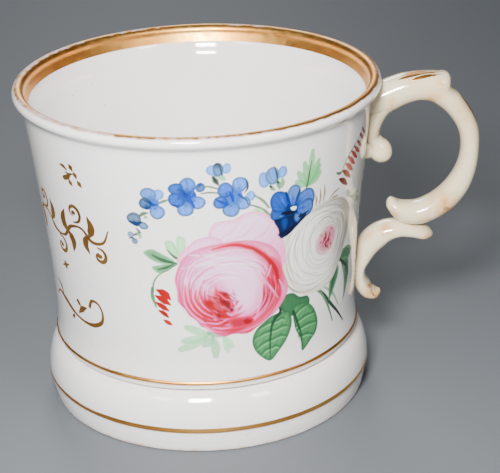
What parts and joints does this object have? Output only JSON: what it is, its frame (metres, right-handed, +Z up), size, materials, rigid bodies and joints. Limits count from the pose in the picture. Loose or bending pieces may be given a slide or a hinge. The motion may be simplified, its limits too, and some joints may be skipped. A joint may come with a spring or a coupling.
{
  "type": "shaving mug",
  "caption": "Flared porcelain shaving mug on a stepped hollow foot, with a cast scroll handle, gilt lines and a hand-painted flower spray.",
  "frame": {"origin": "on the cup's axis, at the plane that the foot rests on", "axes": "+Z up along the cup's axis, +X from the axis towards the handle"},
  "size_m": [0.1269, 0.1, 0.0912],
  "materials": {
    "porcelain": "clear glaze over white porcelain, faint warm wear and pin specks",
    "handle_porcelain": "clear glaze pooled warm ivory in the scroll's hollows",
    "gilding": "thin fired gilding, burnished, worn through on the lip",
    "blue_enamel": "hand-painted overglaze enamel, streaked",
    "pink_enamel": "hand-painted overglaze enamel, streaked",
    "white_enamel": "hand-painted overglaze enamel, pale with a rose heart",
    "red_enamel": "hand-painted overglaze enamel",
    "green_enamel": "hand-painted overglaze enamel, veined",
    "pale_green_enamel": "thin washed overglaze enamel"
  },
  "bodies": {
    "root": {"cup_body": "porcelain", "pedestal_foot": "porcelain", "handle_loop": "handle_porcelain", "handle_bracket": "handle_porcelain", "handle_drop": "handle_porcelain", "rim_gilt_band": "gilding", "waist_gilt_line": "gilding", "foot_gilt_line": "gilding", "gilt_scrollwork": "gilding", "blue_blossoms": "blue_enamel", "pink_rose": "pink_enamel", "white_rose": "white_enamel", "red_buds": "red_enamel", "green_leaves": "green_enamel", "pale_leaves": "pale_green_enamel"}
  },
  "joints": []
}
